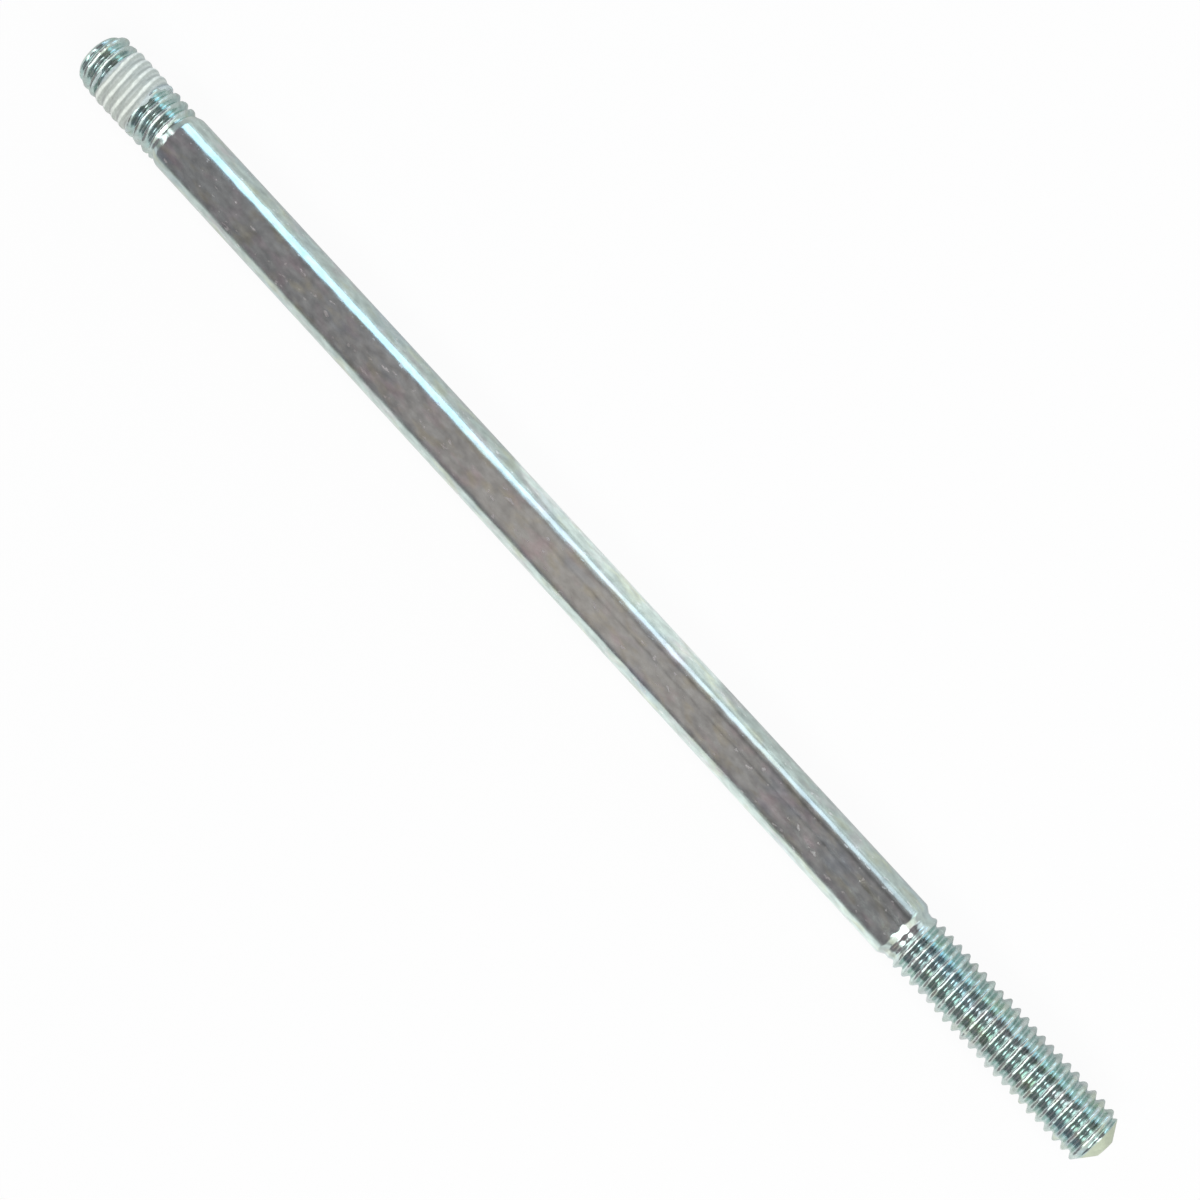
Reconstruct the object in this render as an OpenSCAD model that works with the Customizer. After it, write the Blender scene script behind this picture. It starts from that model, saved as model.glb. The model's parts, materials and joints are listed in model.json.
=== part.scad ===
// Double-ended stud bolt: a plain shank between a short tap end and a long nut end, both with
// rolled right-hand threads, and a band of dried thread sealant on the tap end.
// It lies along X on the plane z = 0, tap end towards -X, with its middle at x = 0.
// All lengths are in millimetres and all angles in degrees.

/* [Shank] */
// Diameter of the plain shank
shank_d = 8.1; // [7.6:0.05:8.8]
// Length of the shank, from shoulder to shoulder
shank_len = 132.5; // [20:0.1:300]
// Length of the slope between the full shank and each threaded end
shoulder_len = 0.8; // [0.4:0.1:2]

/* [Thread form] */
// Distance between neighbouring crests
pitch = 1.411; // [1:0.001:1.6]
// Angle between the two flanks of a thread
flank_angle = 60; // [50:1:65]

/* [Tap end] */
// Length of the tap end, from shoulder to tip
tap_len = 14.7; // [11:0.1:40]
// Diameter over the crests of the tap thread
tap_thread_d = 8.12; // [7.7:0.01:8.6]
// Angle round the axis by which the start of the tap thread is turned
tap_start = 79; // [0:1:359]
// Length of the bare neck beside the shoulder
tap_neck_len = 0.1; // [0.1:0.1:3]
// Length over which the thread grows from the neck to its full height
tap_runout = 1.2; // [0.5:0.1:4]
// Length of the chamfer at the tip
tap_chamfer_len = 1; // [0.4:0.1:2.5]
// Diameter of the flat tip
tap_tip_d = 6.2; // [3:0.1:7]

/* [Nut end] */
// Length of the nut end, from shoulder to tip
nut_len = 33.3; // [12:0.1:80]
// Diameter over the crests of the nut thread
nut_thread_d = 7.7; // [7.6:0.01:8.4]
// Angle round the axis by which the start of the nut thread is turned
nut_start = 277; // [0:1:359]
// Length of the bare neck beside the shoulder
nut_neck_len = 0.6; // [0.1:0.1:3]
// Length over which the thread grows from the neck to its full height
nut_runout = 2.8; // [0.5:0.1:6]
// Length of the blunt cone at the tip
nut_cone_len = 1.8; // [0.4:0.1:4]
// Diameter of the flat tip
nut_tip_d = 2.4; // [1:0.1:5]

/* [Sealant band] */
// Distance from the tap end's tip to the band
band_offset = 4; // [2:0.1:6]
// Length of the band along the thread
band_len = 6; // [2:0.1:7]
// Thickness of the sealant over the crests
band_skin = 0.04; // [0.02:0.01:0.1]
// Depth of the hollows left between the crests
band_hollow = 0.25; // [0.1:0.01:0.4]

/* [Hidden] */

$fn = 96;
steps = 24; // flat facets in one turn of a thread
buried = 0.2; // how far the shank and a threaded end reach into each other

crest_flat = pitch / 8; // widths of the flat crest and the flat root, from the inch thread's standard
root_flat = pitch / 6;
flank_run = (pitch - crest_flat - root_flat) / 2;
flank_tan = tan(flank_angle / 2);
thread_depth = flank_run / flank_tan;
// Depth below the crest at which the ridge and the hollow are equally wide
pitch_line_depth = (pitch / 2 - crest_flat) / 2 / flank_tan;
// Places along one pitch where the profile bends, from the middle of a crest
bends = [-crest_flat / 2, crest_flat / 2, (pitch - root_flat) / 2, (pitch + root_flat) / 2];

overall_len = tap_len + shank_len + nut_len;
tap_shoulder_x = tap_len - overall_len / 2;
nut_shoulder_x = tap_shoulder_x + shank_len;
band_from = tap_len - band_offset - band_len;
rest_r = max(shank_d / 2, nut_thread_d / 2, tap_thread_d / 2 + band_skin);

function clamp(v, low, high) = min(max(v, low), high);

// A thread is rolled on a blank of its pitch diameter: what is pressed out of the roots makes the crests
function blank_r(thread_d) = thread_d / 2 - pitch_line_depth;

// Place on the thread's profile at x along the axis and angle a round it: 0 on a crest, 1 in a root
function hollow(x, a, start) =
    let (turns = x / pitch - (a + start) / 360)
    clamp((abs(turns - round(turns)) * pitch - crest_flat / 2) / flank_run, 0, 1);

// Solid round the X axis that is plain from one place to another and then follows the helix up to
// a third, with radius(x, a) as its radius. One row of points runs along each bend of the profile.
module helical_solid(from, helix_from, to, start, radius) {
    begin = start / 360;
    first_turn = floor(helix_from / pitch - begin) - 1;
    rows = 4 * (ceil(to / pitch - begin) - first_turn + 1);
    function row_x(m, j) = (first_turn + floor(m / 4) + j / steps + begin) * pitch + bends[m % 4];
    function at(m, j) = j < steps ? m * steps + j : m == 0 ? 0 : min(m + 4, rows) * steps;
    points = [for (m = [0:rows], j = [0:steps - 1])
        let (a = 360 * j / steps,
             x = m == 0 ? from : clamp(row_x(m, j), helix_from, to),
             r = radius(x, a))
        [x, r * cos(a), r * sin(a)]];
    strips = [for (m = [0:rows - 1], j = [0:steps - 1])
        [at(m, j), at(m + 1, j), at(m + 1, j + 1), at(m, j + 1)]];
    ends = [[for (j = [0:steps - 1]) at(0, j)], [for (j = [steps - 1:-1:0]) at(rows, j)]];
    polyhedron(points, concat(strips, ends), convexity = 10);
}

// Threaded end along +X, with its shoulder at x = 0 and its tip at x = len
module threaded_end(len, thread_d, start, neck_len, runout, tip_len, tip_d) {
    neck_r = blank_r(thread_d);
    tip_slope = (thread_d - tip_d) / 2 / tip_len;
    helical_solid(-buried, neck_len, len, start, function(x, a)
        let (grown = clamp((x - neck_len) / runout, 0, 1),
             full_r = thread_d / 2 - thread_depth * hollow(x, a, start))
        min(neck_r + grown * (full_r - neck_r), tip_d / 2 + tip_slope * (len - x)));
}

module tap_end()
    threaded_end(tap_len, tap_thread_d, tap_start, tap_neck_len, tap_runout, tap_chamfer_len, tap_tip_d);

module nut_end()
    threaded_end(nut_len, nut_thread_d, nut_start, nut_neck_len, nut_runout, nut_cone_len, nut_tip_d);

// Shank between its shoulders. Each slope runs on a little way inside the neck that it meets.
module shank() {
    tap_drop = shank_d / 2 - blank_r(tap_thread_d);
    nut_drop = shank_d / 2 - blank_r(nut_thread_d);
    slope_len = shoulder_len + buried;
    scaled = slope_len / shoulder_len;
    rotate([0, 90, 0]) rotate_extrude() polygon([
        [0, tap_shoulder_x - buried],
        [shank_d / 2 - tap_drop * scaled, tap_shoulder_x - buried],
        [shank_d / 2, tap_shoulder_x + shoulder_len],
        [shank_d / 2, nut_shoulder_x - shoulder_len],
        [shank_d / 2 - nut_drop * scaled, nut_shoulder_x + buried],
        [0, nut_shoulder_x + buried],
    ]);
}

module at_tap_end() translate([tap_shoulder_x, 0, rest_r]) rotate([0, 0, 180]) children();
module at_nut_end() translate([nut_shoulder_x, 0, rest_r]) children();

module stud() color([0.78, 0.8, 0.79]) {
    translate([0, 0, rest_r]) shank();
    at_tap_end() tap_end();
    at_nut_end() nut_end();
}

module sealant_band() color([0.93, 0.94, 0.91]) {
    at_tap_end() difference() {
        helical_solid(band_from, band_from, band_from + band_len, tap_start,
            function(x, a) tap_thread_d / 2 + band_skin - band_hollow * hollow(x, a, tap_start));
        tap_end();
    }
}

stud();
sealant_band();
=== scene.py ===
import json
import math

import bpy
from mathutils import Matrix, Vector


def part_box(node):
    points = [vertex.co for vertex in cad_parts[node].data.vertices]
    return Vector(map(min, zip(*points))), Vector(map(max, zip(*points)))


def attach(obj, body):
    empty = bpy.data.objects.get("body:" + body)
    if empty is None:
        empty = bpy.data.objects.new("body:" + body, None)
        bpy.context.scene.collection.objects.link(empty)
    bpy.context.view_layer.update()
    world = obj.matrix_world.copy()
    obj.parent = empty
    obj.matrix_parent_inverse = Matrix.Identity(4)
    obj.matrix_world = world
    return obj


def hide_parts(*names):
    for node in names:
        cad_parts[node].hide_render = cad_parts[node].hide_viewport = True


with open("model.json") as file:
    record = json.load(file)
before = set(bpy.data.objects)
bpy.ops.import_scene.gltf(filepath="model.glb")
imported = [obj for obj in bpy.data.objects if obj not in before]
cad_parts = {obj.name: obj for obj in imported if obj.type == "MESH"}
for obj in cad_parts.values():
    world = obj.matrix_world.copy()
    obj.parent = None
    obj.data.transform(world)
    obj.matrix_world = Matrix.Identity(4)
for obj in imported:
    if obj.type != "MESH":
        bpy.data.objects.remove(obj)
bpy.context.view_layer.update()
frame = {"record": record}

# A double-ended stud bolt lying along X on a pale table, tap end towards -X.
# Lengths are in metres; the settings write them as millimetres times mm.

mm = 0.001
mounts = {mount["name"]: mount for mount in frame["record"]["mounts"]}
tapShoulder = mounts["tap_thread"]["pos_m"][0]
nutShoulder = mounts["nut_thread"]["pos_m"][0]
axisHeight = mounts["shank"]["pos_m"][2]
shankRadius = mounts["shank"]["dims"]["r_mm"] * mm


# Node helpers, the same for geometry and for materials

class Field:  # a node's output that plain arithmetic can be written with
    def __init__(self, socket):
        self.socket = socket
        self.tree = socket.id_data

    def __add__(self, other):
        return calc("ADD", self, other)

    def __radd__(self, other):
        return calc("ADD", other, self)

    def __sub__(self, other):
        return calc("SUBTRACT", self, other)

    def __rsub__(self, other):
        return calc("SUBTRACT", other, self)

    def __mul__(self, other):
        return calc("MULTIPLY", self, other)

    def __rmul__(self, other):
        return calc("MULTIPLY", other, self)

    def __truediv__(self, other):
        return calc("DIVIDE", self, other)

    def __rtruediv__(self, other):
        return calc("DIVIDE", other, self)


def plug(value, socket):  # joins a field to a socket, or sets the socket's own value
    if isinstance(value, Field):
        socket.id_data.links.new(value.socket, socket)
    else:
        socket.default_value = value


def calc(operation, *values):
    tree = next(value.tree for value in values if isinstance(value, Field))
    node = tree.nodes.new("ShaderNodeMath")
    node.operation = operation
    for value, socket in zip(values, node.inputs):
        plug(value, socket)
    return Field(node.outputs[0])


def clamp(value, low=0.0, high=1.0):
    return calc("MINIMUM", calc("MAXIMUM", value, low), high)


def ramp(value, low, high):  # 0 at low, 1 at high, level beyond them; low may be the larger
    return clamp((value - low) / (high - low))


def square(value):
    return value * value


def addNode(tree, kind, settings=None, inputs=None):
    node = tree.nodes.new(kind)
    for name, value in (settings or {}).items():
        setattr(node, name, value)
    for name, value in (inputs or {}).items():
        plug(value, node.inputs[name])
    return node


def field(node, name=0):
    return Field(node.outputs[name])


def pick(fields, labels):
    return {label: fields[label] for label in labels}


def inputKinds(values):  # the kinds of socket that a set of values goes in by
    kinds = {int: "NodeSocketInt", float: "NodeSocketFloat", bpy.types.Material: "NodeSocketMaterial"}
    return {label: kinds[type(value)] for label, value in values.items()}


def newTree(name, kind, inputs, outputs):  # a node tree with named sockets, what comes in and what goes out
    tree = bpy.data.node_groups.new(name, kind)
    for way, sockets in (("INPUT", inputs), ("OUTPUT", outputs)):
        for label, socketKind in sockets.items():
            tree.interface.new_socket(name=label, in_out=way, socket_type=socketKind)
    start = tree.nodes.new("NodeGroupInput")
    end = tree.nodes.new("NodeGroupOutput")
    return tree, {label: Field(start.outputs[label]) for label in inputs}, end.inputs


def useGroup(tree, group, inputs):
    kind = "GeometryNodeGroup" if tree.bl_idname == "GeometryNodeTree" else "ShaderNodeGroup"
    return addNode(tree, kind, {"node_tree": group}, inputs)


def addObject(name, data):
    made = bpy.data.objects.new(name, data)
    bpy.context.scene.collection.objects.link(made)
    return made


# Camera, nearly upright above the stud

cameraSettings = {
    "distance": 372 * mm,
    "lens": 93.23,
    "sensor": 36.0,
    "nearest": 0.01,
    "aim": Vector((3.26 * mm, 0.01 * mm, axisHeight)),  # a little towards the nut end from the middle
    "turn": math.radians(47.39),  # how far the stud runs downhill in the frame
    "endTilt": math.radians(9.6),  # leans towards the nut end
    "sideTilt": math.radians(-7.0),  # leans off the upright, towards +Y
}


def makeCamera():
    settings = cameraSettings
    data = bpy.data.cameras.new("camera")
    data.lens = settings["lens"]
    data.sensor_width = settings["sensor"]
    data.clip_start = settings["nearest"]
    camera = addObject("camera", data)
    pose = (Matrix.Rotation(settings["sideTilt"], 4, "X") @ Matrix.Rotation(settings["endTilt"], 4, "Y")
            @ Matrix.Rotation(settings["turn"], 4, "Z"))
    back = pose @ Vector((0, 0, settings["distance"]))
    camera.matrix_world = Matrix.Translation(settings["aim"] + back) @ pose
    bpy.context.scene.camera = camera
    print("camera: placed")


# Thread form, shared by the stud and the sealant

threadPitch = 1.411 * mm
threadForm = {
    "Pitch": threadPitch,
    "Flank Angle": math.radians(60),
    "Crest Flat": threadPitch / 4.5,  # what a sharp crest and root are cut back to, before they are rounded
    "Root Flat": threadPitch / 6,
}
meshDetail = {
    "Columns": 128,  # facets in one turn
    "Rows per Pitch": 14,
    "Row Crowding": 0.55,  # gathers the rows at crests and roots
}
fullTurn = 2 * math.pi


def buildThreadForm():  # depth below the crests at a place on the helix, counted in turns
    tree, given, result = newTree(
        "threadForm", "GeometryNodeTree", inputKinds({"Turns": 0.0, **threadForm}),
        {"Depth": "NodeSocketFloat", "Hollow": "NodeSocketFloat"})
    pitch, turns = given["Pitch"], given["Turns"]
    half = given["Flank Angle"] / 2
    sine, cosine, slope = calc("SINE", half), calc("COSINE", half), 1 / calc("TANGENT", half)
    sharp = (1 / sine) - 1  # a rounding of radius 1 lies this far inside a sharp corner
    crestRound = given["Crest Flat"] / 2 * slope / sharp
    rootRound = given["Root Flat"] / 2 * slope / sharp
    crestEnd, rootEnd = crestRound * cosine, rootRound * cosine
    off = calc("ABSOLUTE", turns - calc("ROUND", turns)) * pitch
    rootOff = pitch / 2 - off
    crestPart = crestRound - calc("SQRT", square(crestRound) - square(calc("MINIMUM", off, crestEnd)))
    flankPart = slope * (clamp(off, crestEnd, pitch / 2 - rootEnd) - crestEnd)
    rootRise = calc("SQRT", square(rootRound) - square(calc("MINIMUM", rootOff, rootEnd)))
    depth = crestPart + flankPart + (rootRise - rootRound * sine)
    full = pitch / 2 * slope - (crestRound + rootRound) * sharp
    plug(depth, result["Depth"])
    plug(clamp(depth / full), result["Hollow"])
    return tree


def threadProfile(tree, form, given, turns):
    return useGroup(tree, form, {"Turns": turns, **pick(given, threadForm)})


def helixTurns(given, along, turn):  # turns away from the crest line that starts the thread
    return along / given["Pitch"] - turn - given["Start Turn"]


def gridPlace(tree, rows, columns):  # a sheet of points, with each point's row and its share of a turn
    grid = addNode(tree, "GeometryNodeMeshGrid", None, {"Vertices X": rows, "Vertices Y": columns + 1})
    index = field(addNode(tree, "GeometryNodeInputIndex"))
    row = calc("FLOOR", (index + 0.5) / (columns + 1))
    return grid, row, (index - row * (columns + 1)) / columns


def ringPlace(tree, along, radius, turn):  # a place round the X axis
    angle = turn * fullTurn
    return field(addNode(tree, "ShaderNodeCombineXYZ", None, {
        "X": along, "Y": radius * calc("COSINE", angle), "Z": radius * calc("SINE", angle)}))


def wrapGrid(tree, grid, along, radius, turn):  # rolls the sheet round the X axis
    return field(addNode(tree, "GeometryNodeSetPosition", None, {
        "Geometry": field(grid, "Mesh"), "Position": ringPlace(tree, along, radius, turn)}))


def helixRows(tree, given, threadLength):  # rows follow the helix and crowd at crests and roots
    spare = 2  # pitches beyond each end
    pitches = calc("CEIL", threadLength / given["Pitch"]) + 2 * spare
    grid, row, turn = gridPlace(tree, pitches * given["Rows per Pitch"] + 1, given["Columns"])
    step = row / given["Rows per Pitch"] - spare
    crowded = step - given["Row Crowding"] * calc("SINE", step * (2 * fullTurn)) / (2 * fullTurn)
    return grid, (crowded + turn + given["Start Turn"]) * given["Pitch"], turn


def storeValues(tree, geometry, values):
    for name, value in values.items():
        geometry = field(addNode(
            tree, "GeometryNodeStoreNamedAttribute", {"data_type": "FLOAT", "domain": "POINT"},
            {"Geometry": geometry, "Name": name, "Value": value}))
    return geometry


def noiseField(tree, along, turn, scale, detail):  # a fixed noise over the rolled surface, from 0 to 1
    noise = addNode(tree, "ShaderNodeTexNoise", None, {
        "Vector": ringPlace(tree, along, shankRadius, turn), "Scale": scale, "Detail": detail})
    return field(noise, "Fac")


def joinParts(tree, parts):
    joined = addNode(tree, "GeometryNodeJoinGeometry")
    for part in parts:
        plug(part, joined.inputs[0])
    return field(joined)


def placePart(tree, part, x, height, turned=0.0):  # turned about Z, then moved to its place
    shift = addNode(tree, "ShaderNodeCombineXYZ", None, {"X": x, "Z": height})
    return field(addNode(tree, "GeometryNodeTransform", None, {
        "Geometry": part, "Translation": field(shift), "Rotation": (0, 0, turned)}))


skinFinish = {
    "seam": 0.001 * mm,  # points nearer to each other than this are sewn together
    "sharpAngle": math.radians(50),  # edges bent by more than this stay sharp
}


def closeTree(tree, geometry, material, socket):  # sews the seams, smooths all but sharp edges, and dresses it
    sewn = addNode(tree, "GeometryNodeMergeByDistance", None, {
        "Geometry": geometry, "Distance": skinFinish["seam"]})
    outward = addNode(tree, "GeometryNodeFlipFaces", None, {"Mesh": field(sewn)})  # rolled sheets face inwards
    smooth = addNode(tree, "GeometryNodeSetShadeSmooth", {"domain": "FACE"}, {
        "Geometry": field(outward), "Shade Smooth": True})
    bend = field(addNode(tree, "GeometryNodeInputMeshEdgeAngle"), "Unsigned Angle")
    creased = addNode(tree, "GeometryNodeSetShadeSmooth", {"domain": "EDGE"}, {
        "Geometry": field(smooth), "Selection": calc("GREATER_THAN", bend, skinFinish["sharpAngle"]),
        "Shade Smooth": False})
    realized = addNode(tree, "GeometryNodeRealizeInstances", None, {"Geometry": field(creased)})
    dressed = addNode(tree, "GeometryNodeSetMaterial", None, {
        "Geometry": field(realized), "Material": material})
    plug(field(dressed), socket)


def runTree(name, tree, values):  # evaluates a tree into a plain mesh object at the origin
    piece = addObject(name, bpy.data.meshes.new(name))
    modifier = piece.modifiers.new("build", "NODES")
    modifier.node_group = tree
    identifiers = {item.name: item.identifier for item in tree.interface.items_tree if item.in_out == "INPUT"}
    for label, value in values.items():
        modifier[identifiers[label]] = value
    evaluated = piece.evaluated_get(bpy.context.evaluated_depsgraph_get())
    mesh = bpy.data.meshes.new_from_object(evaluated)
    piece.modifiers.remove(modifier)
    piece.data = mesh
    mesh.name = name
    triangles = sum(len(polygon.vertices) - 2 for polygon in mesh.polygons)
    print(name + ":", len(mesh.vertices), "points,", triangles, "triangles")
    return piece


# Stud: shank and two threaded ends, one closed skin

studSettings = {
    "Tap": {
        "Length": mounts["tap_thread"]["dims"]["length_mm"] * mm,
        "Thread Radius": mounts["tap_thread"]["dims"]["r_mm"] * mm,
        "Neck Length": 0.1 * mm,
        "Runout": 0.4 * mm,
        "Tip Length": 1.0 * mm,
        "Tip Radius": 3.1 * mm,
        "Tip Dullness": 0.35,  # how far the tip looks like bare cut steel
        "Start Turn": 79 / 360,
    },
    "Nut": {
        "Length": mounts["nut_thread"]["dims"]["length_mm"] * mm,
        "Thread Radius": mounts["nut_thread"]["dims"]["r_mm"] * mm,
        "Neck Length": 0.25 * mm,
        "Runout": 1.5 * mm,
        "Tip Length": 1.8 * mm,
        "Tip Radius": 1.2 * mm,
        "Tip Dullness": 1.0,
        "Start Turn": 277 / 360,
    },
    "Both": {
        "Shank Radius": shankRadius,
        "Shoulder Length": 0.8 * mm,
        "Shoulder Reach": 1.6,  # shoulder lengths from the shoulder's foot to where the shank takes over
        "Shoulder Round": 0.16 * mm,
        "Shoulder Steps": 20,
        "Tip Hollow": 0.12 * mm,  # a rolled end is a little dished
        "Tip Steps": 6,
        "Tip Edge": 0.4 * mm,  # depth of the tip's cut into the thread at which its look is at its full
        "Crest Wear": 0.2 * mm,  # how unevenly the crests are filled and knocked
        "Wear Scale": 450.0,
        "Wear From": 0.4,  # noise at which the wear begins, and at which it is at its full
        "Wear Full": 0.68,
    },
    "Shank Steps": 60,
}


def buildThreadedEnd(form):  # along +X, shoulder at 0
    tree, given, result = newTree(
        "threadedEnd", "GeometryNodeTree",
        inputKinds({**studSettings["Tap"], **studSettings["Both"], **threadForm, **meshDetail}),
        {"Mesh": "NodeSocketGeometry"})
    crestRadius, tipRadius, length = given["Thread Radius"], given["Tip Radius"], given["Length"]
    slope = 1 / calc("TANGENT", given["Flank Angle"] / 2)
    blankDepth = (given["Pitch"] / 2 - given["Crest Flat"]) / 2 * slope
    blankRadius = crestRadius - blankDepth  # the thread is rolled on this

    grid, along, turn = helixRows(tree, given, length)
    along = clamp(along, given["Neck Length"], length)
    profile = threadProfile(tree, form, given, helixTurns(given, along, turn))
    hollow = field(profile, "Hollow")
    worn = ramp(noiseField(tree, along, turn, given["Wear Scale"], 1.0), given["Wear From"], given["Wear Full"])
    wear = worn * given["Crest Wear"] * (1 - hollow)
    grown = clamp((along - given["Neck Length"]) / given["Runout"])
    threaded = blankRadius + grown * (crestRadius - field(profile, "Depth") - wear - blankRadius)
    cone = tipRadius + (crestRadius - tipRadius) / given["Tip Length"] * (length - along)
    cut = ramp(threaded - cone, 0.0, given["Tip Edge"])
    threadSkin = wrapGrid(tree, grid, along, calc("MINIMUM", threaded, cone), turn)
    # groove is the mask for the painted shade in the roots of the threads
    threadSkin = storeValues(tree, threadSkin, {
        "groove": hollow * grown, "crest": (1 - hollow) * grown, "turned": cut * given["Tip Dullness"]})

    grid, row, turn = gridPlace(tree, given["Shoulder Steps"] + 1, given["Columns"])  # from shank to neck
    top = 0 - given["Shoulder Length"] * given["Shoulder Reach"]
    along = top + (given["Neck Length"] - top) * row / given["Shoulder Steps"]
    slopeRadius = blankRadius - along / given["Shoulder Length"] * (given["Shank Radius"] - blankRadius)
    rounded = calc("SMOOTH_MIN", slopeRadius, given["Shank Radius"], given["Shoulder Round"])
    rounded = calc("MAXIMUM", rounded, blankRadius)
    first = calc("COMPARE", row, 0, 0.5)  # the ring that is sewn to the shank
    radius = first * given["Shank Radius"] + (1 - first) * rounded
    shoulderSkin = wrapGrid(tree, grid, along, radius, turn)

    grid, row, turn = gridPlace(tree, given["Tip Steps"] + 1, given["Columns"])  # the face of the tip
    share = 1 - row / given["Tip Steps"]
    along = length - given["Tip Hollow"] * (1 - square(share))
    tipSkin = wrapGrid(tree, grid, along, tipRadius * share, turn)
    tipSkin = storeValues(tree, tipSkin, {"turned": given["Tip Dullness"]})

    plug(joinParts(tree, (threadSkin, shoulderSkin, tipSkin)), result["Mesh"])
    return tree


def buildStud(threadedEnd, values):
    tree, given, result = newTree(
        "studBolt", "GeometryNodeTree", inputKinds(values), {"Geometry": "NodeSocketGeometry"})
    shared = pick(given, {**studSettings["Both"], **threadForm, **meshDetail})
    parts = []
    for end, turned in (("Tap", math.pi), ("Nut", 0.0)):
        own = {label: given[end + " " + label] for label in studSettings[end]}
        made = field(useGroup(tree, threadedEnd, {**own, **shared}))
        parts.append(placePart(tree, made, given[end + " Shoulder"], given["Axis Height"], turned))

    grid, row, turn = gridPlace(tree, given["Shank Steps"] + 1, given["Columns"])
    inset = given["Shoulder Length"] * given["Shoulder Reach"]
    tapSide, nutSide = given["Tap Shoulder"] + inset, given["Nut Shoulder"] - inset
    along = tapSide + (nutSide - tapSide) * row / given["Shank Steps"]
    shank = wrapGrid(tree, grid, along, given["Shank Radius"], turn)
    parts.append(placePart(tree, shank, 0.0, given["Axis Height"]))

    closeTree(tree, joinParts(tree, parts), given["Material"], result["Geometry"])
    return tree


def makeStud(form, material):
    values = {end + " " + label: value for end in ("Tap", "Nut") for label, value in studSettings[end].items()}
    values.update({**studSettings["Both"], **threadForm, **meshDetail})
    values.update({"Tap Shoulder": tapShoulder, "Nut Shoulder": nutShoulder, "Axis Height": axisHeight,
                   "Shank Steps": studSettings["Shank Steps"], "Material": material})
    stud = runTree("zincPlatedStud", buildStud(buildThreadedEnd(form), values), values)
    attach(stud, "root")
    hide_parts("stud")


# Sealant: a dried coat round four turns of the tap thread

sealantSettings = {
    "Skin": 0.03 * mm,  # over the crests
    "Valley": 0.22 * mm,  # the hollows left between the crests
    "Unevenness": 0.03 * mm,
    "Uneven Scale": 900.0,
    "Feather": 0.25 * mm,  # length over which it thins out to nothing
    "Ragged Edge": 0.5 * mm,
    "Ragged Scale": 500.0,
    "Side Reach": 0.9 * mm,  # how much nearer to the tip it comes at the sides than on top
    "Overrun": 0.3 * mm,  # how far it runs towards the shoulder past the band itself
    "Line Lag": -0.15,  # a raised pale line runs beside each crest, partly the coat's own colour and partly a painted highlight: its place in pitches, at the sides
    "Line Swing": 0.55,  # and how much farther off it lies on top, where it sits on the flank facing the nut end and its paleness is a painted highlight
    "Line Height": 0.04 * mm,
    "Buried": 0.05 * mm,  # how far inside the steel it lies where there is none to see
    "Bore Radius": 3.0 * mm,
}


def buildSealant(form, values):  # along +X from the tap end's shoulder
    tree, given, result = newTree(
        "sealantCoat", "GeometryNodeTree", inputKinds(values), {"Geometry": "NodeSocketGeometry"})
    low, high = given["From"] - given["Overrun"], given["To"] + given["Side Reach"]
    grid, along, turn = helixRows(tree, given, high + given["Pitch"])
    along = clamp(along, low, high)
    turns = helixTurns(given, along, turn)
    profile = threadProfile(tree, form, given, turns)
    hollow = field(profile, "Hollow")
    aside = calc("COSINE", turn * fullTurn)  # 1 towards the end's own +Y, -1 towards its -Y
    onTop = 1 - square(aside)
    # on top the line lies on the flank facing the nut end, where its pale colour is a painted highlight
    lag = given["Line Lag"] + given["Line Swing"] * onTop
    line = 1 - field(threadProfile(tree, form, given, turns + lag), "Hollow")
    bumps = noiseField(tree, along, turn, given["Uneven Scale"], 2.0) - 0.5
    coat = given["Thread Radius"] + given["Skin"] - given["Valley"] * hollow + given["Unevenness"] * bumps
    coat = coat + given["Line Height"] * line * hollow
    edge = noiseField(tree, along, turn, given["Ragged Scale"], 3.0) * given["Ragged Edge"]
    tipSide = high - given["Side Reach"] * onTop
    shoulderSide = low + given["Side Reach"] * calc("MAXIMUM", 0 - aside, 0.0)
    inside = calc("MINIMUM", along - shoulderSide - edge, tipSide - along - edge)
    cover = clamp(inside / given["Feather"])
    bare = given["Thread Radius"] - field(profile, "Depth") - given["Buried"]
    outer = calc("MINIMUM", bare + cover * (coat - bare), given["Outer Limit"])
    coatSkin = wrapGrid(tree, grid, along, outer, turn)
    coatSkin = storeValues(tree, coatSkin, {"line": line, "cover": cover})

    # Out of sight in the steel: rings 0 and 3 are the rims at both ends, and rings 1 and 2 the bore
    grid, ring, turn = gridPlace(tree, 4, given["Columns"])
    atShoulder = calc("GREATER_THAN", ring, 1.5)
    onBore = calc("COMPARE", ring, 1.5, 0.6)
    along = high + (low - high) * atShoulder
    rim = threadProfile(tree, form, given, helixTurns(given, along, turn))
    rimRadius = given["Thread Radius"] - field(rim, "Depth") - given["Buried"]
    innerSkin = wrapGrid(tree, grid, along, rimRadius + onBore * (given["Bore Radius"] - rimRadius), turn)

    joined = joinParts(tree, (coatSkin, innerSkin))
    placed = placePart(tree, joined, given["Shoulder"], given["Axis Height"], math.pi)
    closeTree(tree, placed, given["Material"], result["Geometry"])
    return tree


def makeSealant(form, material):
    lowest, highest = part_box("sealant_band")
    values = {**sealantSettings, **threadForm, **meshDetail,
              **pick(studSettings["Tap"], ("Start Turn", "Thread Radius")),
              "Outer Limit": (highest.y - lowest.y) / 2,
              "From": tapShoulder - highest.x, "To": tapShoulder - lowest.x,
              "Shoulder": tapShoulder, "Axis Height": axisHeight, "Material": material}
    coat = runTree("driedSealant", buildSealant(form, values), values)
    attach(coat, "root")
    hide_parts("sealant_band")


# Materials

white = (1.0, 1.0, 1.0, 1)


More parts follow.
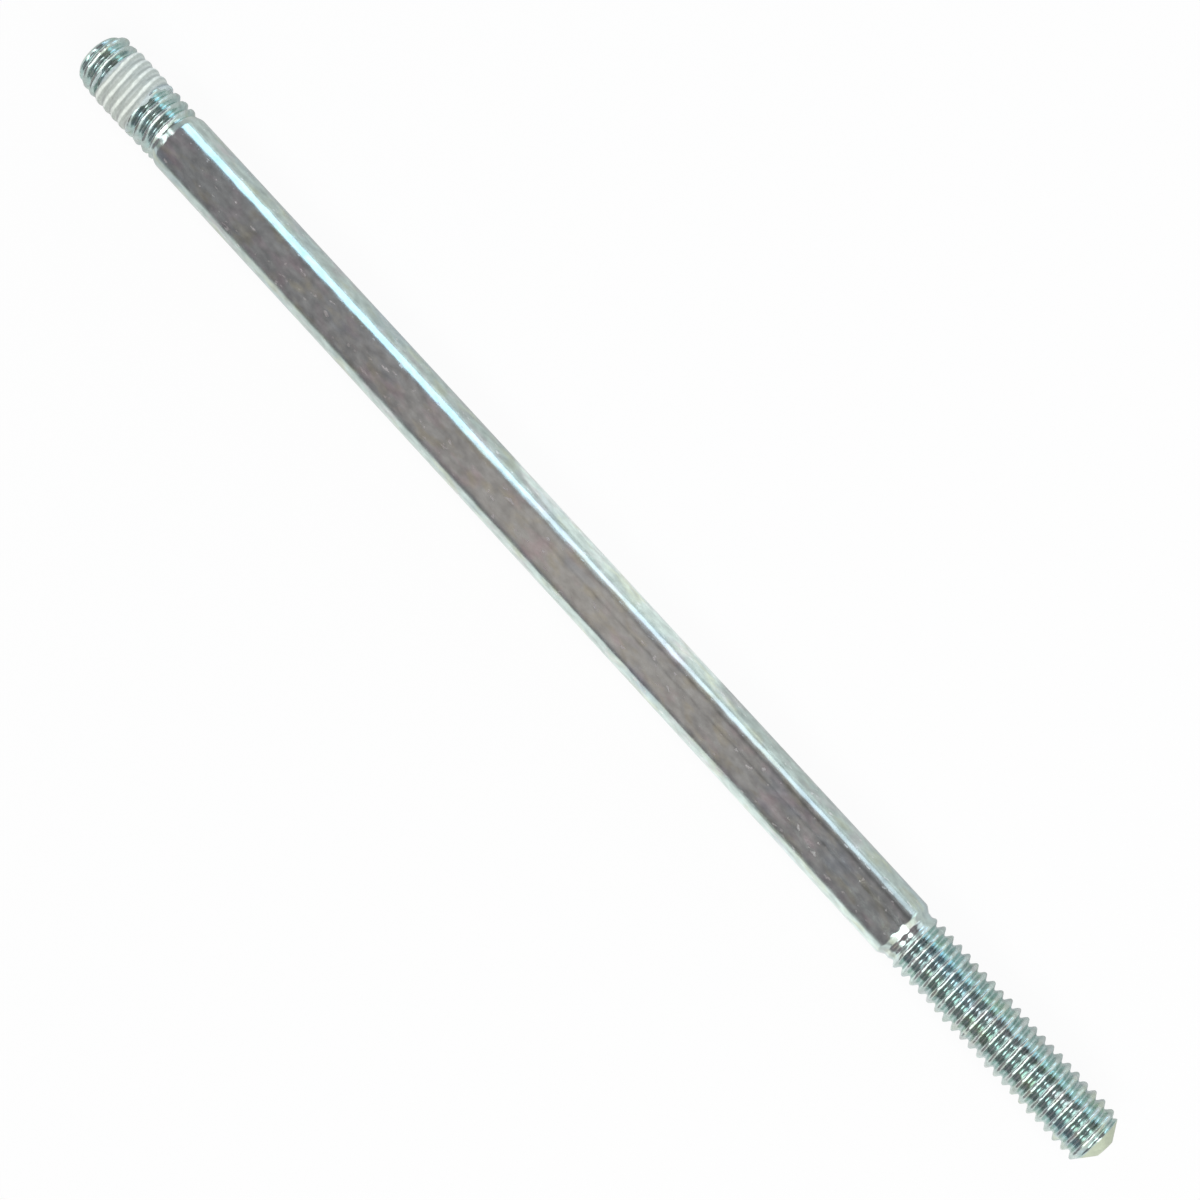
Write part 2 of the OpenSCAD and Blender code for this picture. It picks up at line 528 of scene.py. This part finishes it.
def newMaterial(name):
    material = bpy.data.materials.new(name)
    material.use_nodes = True
    tree = material.node_tree
    tree.nodes.clear()
    shader = addNode(tree, "ShaderNodeBsdfPrincipled")
    output = addNode(tree, "ShaderNodeOutputMaterial")
    plug(field(shader), output.inputs["Surface"])
    return material, tree, shader, output


def buildUnevenness():  # noise in the object's own space, with its own scale along each axis
    tree, given, result = newTree(
        "unevenness", "ShaderNodeTree",
        {"Scale": "NodeSocketVector", "Shift": "NodeSocketVector", "Detail": "NodeSocketFloat"},
        {"Value": "NodeSocketFloat"})
    place = addNode(tree, "ShaderNodeMapping", None, {
        "Vector": field(addNode(tree, "ShaderNodeTexCoord"), "Object"), "Scale": given["Scale"],
        "Location": given["Shift"]})
    noise = addNode(tree, "ShaderNodeTexNoise", None, {
        "Vector": field(place), "Scale": 1.0, "Detail": given["Detail"]})
    plug(field(noise, "Fac"), result["Value"])
    return tree


def uneven(tree, unevenness, noise):
    scale, detail, shift = noise
    return field(useGroup(tree, unevenness, {
        "Scale": scale, "Shift": (shift, shift, shift), "Detail": detail}))


def stored(tree, name):
    return field(addNode(tree, "ShaderNodeAttribute", {"attribute_name": name}), "Fac")


def blend(tree, share, first, second, way="MIX"):
    mix = addNode(tree, "ShaderNodeMix", {"data_type": "RGBA", "blend_type": way})
    plug(share, mix.inputs[0])
    plug(first, mix.inputs[6])
    plug(second, mix.inputs[7])
    return Field(mix.outputs[2])


def scaleColor(tree, color, factor):
    vector = color if isinstance(color, Field) else color[:3]
    return field(addNode(tree, "ShaderNodeVectorMath", {"operation": "SCALE"}, {
        "Vector": vector, "Scale": factor}))


def addBump(tree, shader, height, distance):
    bump = addNode(tree, "ShaderNodeBump", None, {"Height": height, "Strength": 1.0, "Distance": distance})
    plug(field(bump), shader.inputs["Normal"])


# a noise is its scale along X, Y and Z, its detail and its shift
zincPlate = {
    "tint": (0.60, 0.71, 0.67, 1),
    "patches": {  # each has its full share where its noise is above full, and none where it is below from
        "rosy": {"color": (0.70, 0.66, 0.68, 1), "noise": ((240, 520, 520), 2.0, 0.0),
                 "from": 0.50, "full": 0.72, "share": 0.6},
        "olive": {"color": (0.63, 0.70, 0.56, 1), "noise": ((300, 600, 600), 2.0, 7.3),
                  "from": 0.52, "full": 0.72, "share": 0.8},
        "blue": {"color": (0.50, 0.64, 0.70, 1), "noise": ((90, 300, 300), 3.0, 3.1),
                 "from": 0.55, "full": 0.75, "share": 0.7},
        "specks": {"color": (0.86, 0.88, 0.86, 1), "noise": ((900, 1700, 1700), 1.0, 2.7),
                   "from": 0.68, "full": 0.75, "share": 0.7},
    },
    "mottle": ((600, 1100, 1100), 4.0, 11.7),
    "drawn": ((60, 5000, 5000), 2.0, 5.9),  # hairlines along the stud
    "waves": ((260, 600, 600), 1.0, 9.1),
    "mottleTone": (0.55, 0.9),  # the colour is scaled by this much, and by how much more with the mottle
    "grooveShade": (0.80, 0.91, 0.92, 1),  # painted shade in the roots of the threads, which also tints them greener: what they are darkened by
    "turnedTint": (0.63, 0.69, 0.55, 1),  # the cut steel of the tips
    "turnedTone": (0.8, 0.4),
    "turnedRagged": 0.8,  # how unevenly the cut steel gives way to the plating, and where it does
    "turnedFrom": 0.25,
    "turnedFull": 0.6,
    "roughness": 0.17,
    "mottleRoughness": 0.12,
    "speckRoughness": 0.2,
    "crestRoughness": 0.1,
    "turnedRoughness": 0.3,
    "bumpDistance": 0.035 * mm,  # height of the waves, and the other bumps as shares of it
    "mottleBump": 0.04,
    "drawnBump": 0.01,
    "speckBump": 0.03,
}


def makeZincPlate(unevenness):
    settings = zincPlate
    material, tree, shader, _ = newMaterial("zincPlate")
    groove, crest, turned = (stored(tree, name) for name in ("groove", "crest", "turned"))
    mottle, drawn, waves = (uneven(tree, unevenness, settings[name]) for name in ("mottle", "drawn", "waves"))
    color = settings["tint"]
    shares = {}
    for name, patch in settings["patches"].items():
        shares[name] = ramp(uneven(tree, unevenness, patch["noise"]), patch["from"], patch["full"])
        color = blend(tree, shares[name] * patch["share"], color, patch["color"])
    specks = shares["specks"]
    # painted shade: the roots of the threads are darkened and tinted by grooveShade
    color = blend(tree, 1.0, color, blend(tree, groove, white, settings["grooveShade"]), "MULTIPLY")
    least, more = settings["mottleTone"]
    color = scaleColor(tree, color, least + mottle * more)
    least, more = settings["turnedTone"]
    steel = scaleColor(tree, settings["turnedTint"], least + mottle * more)
    ragged = turned + (mottle - 0.5) * settings["turnedRagged"]
    bare = ramp(ragged, settings["turnedFrom"], settings["turnedFull"]) * turned
    plug(blend(tree, bare, color, steel), shader.inputs["Base Color"])
    shader.inputs["Metallic"].default_value = 1.0
    roughness = (settings["roughness"] + (mottle - 0.5) * settings["mottleRoughness"]
                 + specks * settings["speckRoughness"] + crest * settings["crestRoughness"]
                 + bare * settings["turnedRoughness"])
    plug(roughness, shader.inputs["Roughness"])
    height = (waves + mottle * settings["mottleBump"] + drawn * settings["drawnBump"]
              - specks * settings["speckBump"])
    addBump(tree, shader, height, settings["bumpDistance"])
    return material


chalkySealant = {
    # the pale colour of the raised lines, which also paints a highlight on them
    "chalkAndHighlight": (0.84, 0.90, 0.84, 1),
    "plain": (0.48, 0.53, 0.49, 1),
    "thin": (0.52, 0.60, 0.60, 1),  # where it feathers out
    "thinBelow": 0.3,  # cover at which it is all of the thin kind
    "streaks": ((2500, 900, 900), 3.0, 0.0),
    "grains": ((3000, 3000, 3000), 3.0, 4.4),
    "lineWear": 0.3,  # how far the streaks eat into the pale lines, which are partly a painted highlight
    "lineFrom": 0.78,
    "midFrom": 0.2,  # halfway between the lines there is a little of that pale colour as well
    "midChalk": 0.35,
    "grainTone": (0.76, 0.48),  # the colour is scaled by this much, and by how much more with the grains
    "roughness": 0.4,
    "bumpDistance": 0.03 * mm,
    "grainBump": 0.5,
}


def makeChalkySealant(unevenness):
    settings = chalkySealant
    material, tree, shader, _ = newMaterial("chalkySealant")
    line, cover = stored(tree, "line"), stored(tree, "cover")
    streaks, grains = (uneven(tree, unevenness, settings[name]) for name in ("streaks", "grains"))
    worn = line - (streaks - 0.5) * settings["lineWear"]
    # the pale share: raised lines, painted paler as a highlight where they lie on the flank facing the nut end,
    # and a little between them
    chalkAndHighlightShare = ramp(worn, settings["lineFrom"], 1.0) + ramp(worn, settings["midFrom"], 0.0) * settings["midChalk"]
    color = blend(tree, chalkAndHighlightShare, settings["plain"], settings["chalkAndHighlight"])
    color = blend(tree, ramp(cover, 1.0, settings["thinBelow"]), color, settings["thin"])
    least, more = settings["grainTone"]
    plug(scaleColor(tree, color, least + grains * more), shader.inputs["Base Color"])
    shader.inputs["Roughness"].default_value = settings["roughness"]
    addBump(tree, shader, streaks + grains * settings["grainBump"], settings["bumpDistance"])
    return material


# Studio: a white table, a dim room and soft lamps

tableSettings = {
    "size": 6.0,
    "color": (0.86, 0.86, 0.86, 1),
    "roughness": 0.9,
    "cameraGlow": 0.93,  # share of plain white that the camera sees in the table
    "mirrorShare": 0.6,  # share of glow that reflections see in it, and how bright that glow is:
    "farGlow": 0.53,  # on the +Y side
    "nearGlow": 1.08,  # on the -Y side, and how much more for each metre towards the nut end
    "nearSlope": 4.5,
    "nearEdge": 1 * mm,
    "nearDim": 0.35,  # share of it that is lost beside the nut end, and where that begins and ends
    "dimFrom": nutShoulder - 1 * mm,
    "dimFull": nutShoulder + 3 * mm,
    "sheenGlow": 1.12,  # across the sheen under the middle of the stud
    "sheenFrom": -19 * mm,
    "sheenTo": 22 * mm,
    "sheenEdge": 3 * mm,
    "glowReach": 35 * mm,  # how far the glow goes towards -Y, and where it has faded
    "glowEnd": 75 * mm,
}
# places in the room are read on the unit sphere
roomSettings = {
    "color": (0.26, 0.225, 0.245, 1),
    "backdropColor": (0.97, 0.97, 0.97, 1),  # what the camera sees past the table
    "overheadColor": (0.46, 0.37, 0.38, 1),  # a paler patch above the middle of the stud
    "overheadAt": -0.17,  # its place along X and its half width
    "overheadReach": 0.16,
    "overheadFrom": 0.1,  # height at which it begins, and at which it is at its full
    "overheadFull": 0.4,
    "panelColor": (0.60, 0.48, 0.47, 1),  # a panel inside it
    "panelReach": 0.05,
    "panelEdge": 0.01,
    "seams": [{"turn": 5.5, "reach": 5, "depth": 0.5},  # dark seams above the nut half: degrees from
              {"turn": 48, "reach": 9, "depth": 0.55}],  # overhead towards +Y, and half width in degrees
    "seamFrom": -0.21,  # where they begin along X, and where they are at their full
    "seamFull": -0.17,
    "horizonColor": (0.98, 1.04, 1.05, 1),  # beyond the far side of the table
    "horizonTop": 0.26,  # height at which the room turns dim
    "horizonFull": 0.3,  # how far towards +Y it is at its full
    "sideColors": {1: (1.2, 1.18, 1.1, 1),  # the bright side of the room, beyond the nut end
                   -1: (0.50, 0.55, 0.55, 1)},  # the less bright side, beyond the tap end
    "sideFrom": 0.55,  # where both begin along X, and where they are at their full
    "sideFull": 0.90,
}
# turn: degrees from overhead towards +Y, lean: degrees from there towards +X
lampSettings = {
    "longStrip": {"turn": 66.5, "lean": -28, "distance": 0.7, "size": (0.362, 0.30),
                  "color": (0.51, 0.79, 1.0), "glow": 1.9},
    "shortStrip": {"turn": 71.2, "lean": -5.4, "distance": 0.7, "size": (0.20, 0.19),
                   "color": (0.75, 0.86, 1.0), "glow": 1.25},
    "nutStrip": {"turn": 71, "lean": 25, "distance": 0.7, "size": (0.48, 0.30),
                 "color": (0.80, 0.98, 1.0), "glow": 0.8},
    "nutTopBox": {"turn": 13, "lean": 41, "distance": 0.8, "size": (1.00, 0.18),
                  "color": (1.0, 0.98, 1.0), "glow": 3.0},
    "nutCornerBox": {"turn": -32, "lean": 41, "distance": 0.8, "size": (1.00, 0.26),
                     "color": (0.88, 1.0, 0.98), "glow": 2.3},
    "tapTopBox": {"turn": 13, "lean": -56, "distance": 0.8, "size": (0.60, 0.14),
                  "color": (1.0, 0.98, 1.0), "glow": 1.3},
    "tapCornerBox": {"turn": -32, "lean": -56, "distance": 0.8, "size": (0.60, 0.20),
                     "color": (0.88, 1.0, 0.98), "glow": 1.5},
    "softFill": {"turn": -10, "lean": 25, "distance": 1.0, "size": (1.4, 1.2),
                 "color": (1.0, 1.0, 1.0), "glow": 0.68, "mirrored": False},
}


def axisParts(tree, coordinates):
    parts = addNode(tree, "ShaderNodeSeparateXYZ", None, {
        "Vector": field(addNode(tree, "ShaderNodeTexCoord"), coordinates)})
    return [field(parts, axis) for axis in "XYZ"]


def directRays(rays):  # the camera's own rays, and those that come to it through glass
    return clamp(field(rays, "Is Camera Ray") + field(rays, "Is Transmission Ray"))


def mixShaders(tree, share, first, second):
    mix = addNode(tree, "ShaderNodeMixShader", None, {"Fac": share})
    plug(first, mix.inputs[1])
    plug(second, mix.inputs[2])
    return field(mix)


def makeTable():
    settings = tableSettings
    half = settings["size"] / 2
    corners = [(-half, -half, 0), (half, -half, 0), (half, half, 0), (-half, half, 0)]
    mesh = bpy.data.meshes.new("table")
    mesh.from_pydata(corners, [], [(0, 1, 2, 3)])
    table = addObject("table", mesh)
    material, tree, shader, output = newMaterial("tableTop")
    shader.inputs["Base Color"].default_value = settings["color"]
    shader.inputs["Roughness"].default_value = settings["roughness"]
    shader.inputs["Specular IOR Level"].default_value = 0.0
    rays = addNode(tree, "ShaderNodeLightPath")
    direct = directRays(rays)
    seen = direct * settings["cameraGlow"] + field(rays, "Is Glossy Ray") * settings["mirrorShare"]
    along, across, _ = axisParts(tree, "Object")
    sheen = (ramp(along, settings["sheenFrom"], settings["sheenFrom"] + settings["sheenEdge"])
             * ramp(along, settings["sheenTo"], settings["sheenTo"] - settings["sheenEdge"]))
    reach = ramp(across, -settings["glowEnd"], -settings["glowReach"])
    near = ramp(across, 0.0, -settings["nearEdge"]) * reach
    near = near * (settings["nearGlow"] + clamp(along, tapShoulder, nutShoulder) * settings["nearSlope"])
    near = near * (1 - ramp(along, settings["dimFrom"], settings["dimFull"]) * settings["nearDim"])
    mirrored = calc("MAXIMUM", near, sheen * settings["sheenGlow"])
    mirrored = calc("MAXIMUM", reach * settings["farGlow"], mirrored)
    glow = addNode(tree, "ShaderNodeEmission", None, {
        "Color": white, "Strength": direct + (1 - direct) * mirrored})
    top = mixShaders(tree, clamp(seen), field(shader), field(glow))
    below = field(addNode(tree, "ShaderNodeNewGeometry"), "Backfacing")
    clear = field(addNode(tree, "ShaderNodeBsdfTransparent"))
    plug(mixShaders(tree, below, top, clear), output.inputs["Surface"])
    mesh.materials.append(material)


def makeRoom():
    settings = roomSettings
    world = bpy.data.worlds.new("room")
    bpy.context.scene.world = world
    world.use_nodes = True
    tree = world.node_tree
    tree.nodes.clear()
    along, across, height = axisParts(tree, "Generated")
    overhead = ramp(height, settings["overheadFrom"], settings["overheadFull"])
    away = calc("ABSOLUTE", along - settings["overheadAt"])
    off = clamp(away / settings["overheadReach"])
    patch = (1 - off * off * (3 - 2 * off)) * overhead  # fades smoothly from its middle
    color = blend(tree, patch, settings["color"], settings["overheadColor"])
    reach, edge = settings["panelReach"], settings["panelEdge"]
    color = blend(tree, ramp(away, reach + edge, reach - edge) * overhead, color, settings["panelColor"])
    turn = calc("ARCTAN2", across, height)
    beside = ramp(along, settings["seamFrom"], settings["seamFull"])
    for seam in settings["seams"]:
        off = calc("ABSOLUTE", turn - math.radians(seam["turn"]))
        dark = ramp(off, math.radians(seam["reach"]), 0.0) * beside * seam["depth"]
        color = scaleColor(tree, color, 1 - dark)
    horizon = ramp(height, settings["horizonTop"], 0.0) * ramp(across, 0.0, settings["horizonFull"])
    color = blend(tree, horizon, color, settings["horizonColor"])
    for side, sideColor in settings["sideColors"].items():
        share = ramp(along, side * settings["sideFrom"], side * settings["sideFull"])
        color = blend(tree, share, color, sideColor)
    direct = directRays(addNode(tree, "ShaderNodeLightPath"))
    color = blend(tree, direct, color, settings["backdropColor"])
    background = addNode(tree, "ShaderNodeBackground", None, {"Color": color, "Strength": 1.0})
    plug(field(background), addNode(tree, "ShaderNodeOutputWorld").inputs["Surface"])


def makeLamps():
    for name, settings in lampSettings.items():
        data = bpy.data.lights.new(name, "AREA")
        data.shape = "RECTANGLE"
        data.size, data.size_y = settings["size"]
        data.color = settings["color"]
        data.energy = settings["glow"] * math.pi * data.size * data.size_y  # so that glow is its brightness
        lamp = addObject(name, data)
        pose = (Matrix.Rotation(math.radians(-settings["turn"]), 4, "X")
                @ Matrix.Rotation(math.radians(settings["lean"]), 4, "Y"))
        lamp.matrix_world = pose @ Matrix.Translation((0, 0, settings["distance"]))
        lamp.visible_camera = False
        lamp.visible_glossy = settings.get("mirrored", True)
    print("studio: table, room and", len(lampSettings), "lamps")


makeCamera()
form = buildThreadForm()
unevenness = buildUnevenness()
makeStud(form, makeZincPlate(unevenness))
makeSealant(form, makeChalkySealant(unevenness))
makeTable()
makeRoom()
makeLamps()
bpy.context.scene.view_settings.view_transform = "Standard"
